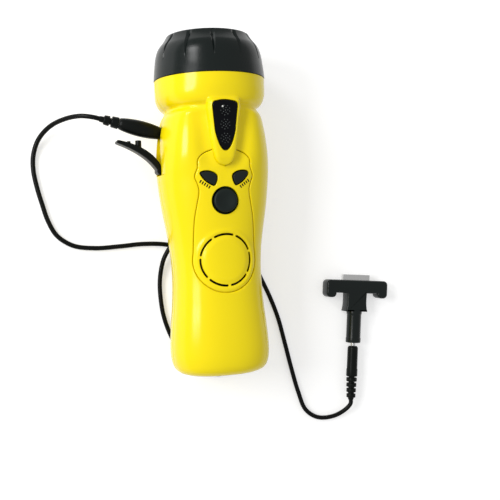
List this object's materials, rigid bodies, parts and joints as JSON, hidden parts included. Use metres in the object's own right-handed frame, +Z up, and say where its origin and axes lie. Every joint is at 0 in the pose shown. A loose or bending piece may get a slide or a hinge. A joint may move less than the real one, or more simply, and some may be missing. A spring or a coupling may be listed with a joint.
{
  "type": "hand crank flashlight",
  "caption": "Hand-cranked torch with radio panel, signal window, screw-on lamp bezel, folding crank on the back and a plugged-in charging lead with adapter.",
  "frame": {"origin": "centre of the heel pad's flat resting face under the tail", "axes": "+Y along the torch towards the lamp, +Z up out of the control panel, +X across to the side away from the jack"},
  "size_m": [0.2151, 0.2293, 0.0624],
  "materials": {
    "yellow_plastic": "glossy lemon yellow moulded shell",
    "black_plastic": "satin charcoal black moulding",
    "black_rubber": "soft matt black rubber",
    "smoked_plastic": "polished smoked window",
    "clear_plastic": "clear polished",
    "reflector_chrome": "bright metallised",
    "bright_metal": "nickel plated",
    "steel": "zinc plated",
    "brass": "machined",
    "copper": "enamelled winding wire",
    "circuit_board": "green solder resist",
    "white_plastic": "natural acetal",
    "dark_component": "matt dark",
    "cell_sleeve": "shrink sleeve"
  },
  "bodies": {
    "housing": {"front_shell": "yellow_plastic", "rear_shell": "yellow_plastic", "control_panel": "yellow_plastic", "power_switch": "dark_component", "scan_switch": "dark_component", "reset_switch": "dark_component", "signal_window": "smoked_plastic", "signal_board": "circuit_board", "signal_led_1": "white_plastic", "signal_led_2": "white_plastic", "signal_led_3": "white_plastic", "white_led_1": "clear_plastic", "white_led_2": "clear_plastic", "white_led_3": "clear_plastic", "reflector": "reflector_chrome", "lamp_board": "circuit_board", "generator_coil": "copper", "gearbox_plate": "steel", "battery_cell_1": "cell_sleeve", "battery_cell_2": "cell_sleeve", "battery_cell_3": "cell_sleeve", "battery_tray": "black_plastic", "speaker_frame": "steel", "speaker_cone": "dark_component", "main_board": "circuit_board", "housing_screw_1": "steel", "housing_screw_2": "steel", "housing_screw_3": "steel", "housing_screw_4": "steel", "heel_pad": "black_rubber", "jack_socket": "black_plastic", "plug_pin": "bright_metal", "jack_plug": "black_rubber", "plug_relief": "black_rubber", "lead_cord": "black_rubber", "far_relief": "black_rubber", "far_plug": "black_rubber", "far_pin": "bright_metal"},
    "bezel": {"bezel": "black_plastic", "lens": "clear_plastic", "lens_seal": "black_rubber"},
    "crank": {"crank_hub": "black_plastic", "crank_arm": "yellow_plastic", "crank_screw": "steel", "crank_gear": "brass", "hinge_pin": "steel"},
    "knob_bracket": {"knob_bracket": "steel"},
    "crank_knob": {"crank_knob": "black_plastic"},
    "compound_gear": {"compound_gear": "white_plastic"},
    "generator_rotor": {"generator_rotor": "steel"},
    "power_button": {"power_button": "black_plastic"},
    "scan_button": {"scan_button": "black_plastic"},
    "reset_button": {"reset_button": "black_plastic"},
    "jack_cover": {"jack_cover": "black_rubber"},
    "adapter": {"charging_adapter": "black_plastic", "adapter_contacts": "bright_metal"}
  },
  "joints": [
    {"name": "crank_spin", "type": "hinge", "parent": "housing", "child": "crank", "pos_m": [0, 0.061, 0.0175], "axis": [0, 0, -1], "continuous": true},
    {"name": "compound_spin", "type": "hinge", "parent": "housing", "child": "compound_gear", "pos_m": [0, 0.0811, 0.026], "axis": [0, 0, -1], "continuous": true},
    {"name": "rotor_spin", "type": "hinge", "parent": "housing", "child": "generator_rotor", "pos_m": [0, 0.1012, 0.034], "axis": [0, 0, -1], "continuous": true},
    {"name": "knob_fold", "type": "hinge", "parent": "crank", "child": "knob_bracket", "pos_m": [0, 0.0955, 0.0126], "axis": [1, 0, 0], "range_deg": [0, 90]},
    {"name": "knob_spin", "type": "hinge", "parent": "knob_bracket", "child": "crank_knob", "pos_m": [0, 0.0815, 0.0126], "axis": [0, 1, 0], "continuous": true},
    {"name": "power_press", "type": "slide", "parent": "housing", "child": "power_button", "axis": [0, 0, -1], "range_m": [0, 0.0011], "stiffness_N_per_m": 300, "springref_m": -0.001},
    {"name": "scan_press", "type": "slide", "parent": "housing", "child": "scan_button", "axis": [0, 0, -1], "range_m": [0, 0.0011], "stiffness_N_per_m": 300, "springref_m": -0.001},
    {"name": "reset_press", "type": "slide", "parent": "housing", "child": "reset_button", "axis": [0, 0, -1], "range_m": [0, 0.0011], "stiffness_N_per_m": 300, "springref_m": -0.001},
    {"name": "cover_swing", "type": "hinge", "parent": "housing", "child": "jack_cover", "pos_m": [-0.0294, 0.0916, 0.0254], "axis": [0, 0, 1], "range_deg": [0, 35]},
    {"name": "bezel_turn", "type": "hinge", "parent": "housing", "child": "bezel", "pos_m": [0, 0.15, 0.0312], "axis": [0, 1, 0], "range_deg": [0, 270]},
    {"name": "adapter_pull", "type": "slide", "parent": "housing", "child": "adapter", "axis": [0.0872, 0.9962, 0], "range_m": [0, 0.014]}
  ],
  "couplings": [
    {"joint": "compound_spin", "follows": "crank_spin", "ratio": -3},
    {"joint": "rotor_spin", "follows": "crank_spin", "ratio": 9}
  ]
}
